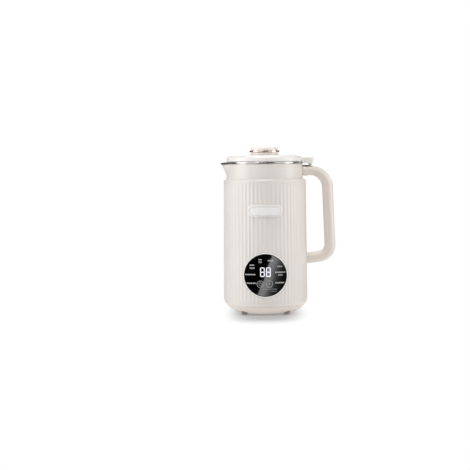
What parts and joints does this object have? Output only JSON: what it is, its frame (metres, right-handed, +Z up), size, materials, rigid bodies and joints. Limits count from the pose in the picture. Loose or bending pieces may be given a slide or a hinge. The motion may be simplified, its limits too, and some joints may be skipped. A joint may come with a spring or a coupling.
{
  "type": "soy milk maker",
  "caption": "Countertop soy milk maker: fluted jug body with a spouted steel cup over a motor and heater, side handle, round control panel and lift-off lid with a knob",
  "frame": {"origin": "on the ground under the middle of the object's box; the body's axis is the line x = -0.01944, y = 0", "axes": "+Z up; the control panel faces -Y; the handle is towards +X and the spout towards -X"},
  "size_m": [0.173, 0.128, 0.2521],
  "materials": {
    "cream_plastic": "satin cream",
    "lid_plastic": "satin ivory",
    "handle_plastic": "satin beige",
    "polished_steel": "polished stainless steel",
    "copper_plate": "polished rose copper plating",
    "black_gloss": "high-gloss black",
    "pale_plate": "pearl white, bare",
    "display_white": "translucent white",
    "circuit_board": "green solder mask",
    "dark_plastic": "matte",
    "black_rubber": "matte",
    "silicone": "matte",
    "aluminium": "cast",
    "zinc_steel": "zinc plated",
    "motor_steel": "laminated steel",
    "copper": "enamelled windings",
    "brass": "turned"
  },
  "bodies": {
    "housing": {"outer_shell": "cream_plastic", "neck_collar": "cream_plastic", "inner_cup": "polished_steel", "base_cover": "cream_plastic", "foot_1": "black_rubber", "foot_2": "black_rubber", "foot_3": "black_rubber", "foot_4": "black_rubber", "base_screw_1": "zinc_steel", "base_screw_2": "zinc_steel", "base_screw_3": "zinc_steel", "base_screw_4": "zinc_steel", "handle_outer_shell": "handle_plastic", "handle_inner_shell": "handle_plastic", "handle_screw_upper": "zinc_steel", "handle_screw_lower": "zinc_steel", "display_panel": "black_gloss", "display_bezel": "cream_plastic", "digit_module": "display_white", "control_board": "circuit_board", "name_plate": "pale_plate", "power_inlet": "dark_plastic", "inlet_pin_1": "brass", "inlet_pin_2": "brass", "inlet_pin_3": "brass", "chassis": "dark_plastic", "heat_plate": "aluminium", "heater_tube": "motor_steel", "thermostat": "dark_plastic", "temperature_sensor": "zinc_steel", "motor_damper": "black_rubber", "motor_upper_bracket": "dark_plastic", "motor_lower_bracket": "dark_plastic", "motor_stator": "motor_steel", "brush_holder_1": "brass", "brush_holder_2": "brass", "upper_bearing": "zinc_steel", "lower_bearing": "zinc_steel", "blade_seat": "polished_steel", "seat_nut": "brass", "shaft_seal": "silicone", "power_board": "circuit_board", "micro_switch": "dark_plastic"},
    "lid": {"lid_cover": "lid_plastic", "lid_liner": "lid_plastic", "lid_seal": "silicone", "knob_base": "lid_plastic", "knob_ring": "copper_plate", "knob_cap": "lid_plastic", "knob_screw": "zinc_steel"},
    "drive": {"drive_shaft": "polished_steel", "blade_lower": "polished_steel", "blade_upper": "polished_steel", "blade_nut": "polished_steel", "armature_core": "copper", "commutator": "copper", "cooling_fan": "dark_plastic"},
    "interlock": {"interlock_plunger": "dark_plastic"}
  },
  "joints": [
    {"name": "lid_lift", "type": "slide", "parent": "housing", "child": "lid", "axis": [0, 0, 1], "range_m": [0, 0.06]},
    {"name": "motor_spin", "type": "hinge", "parent": "housing", "child": "drive", "pos_m": [-0.01944, 0, 0.06], "axis": [0, 0, 1], "continuous": true},
    {"name": "plunger_travel", "type": "slide", "parent": "housing", "child": "interlock", "axis": [0, 0, 1], "range_m": [0, 0.002]}
  ],
  "couplings": [
    {"joint": "plunger_travel", "follows": "lid_lift", "ratio": 0.033333}
  ]
}
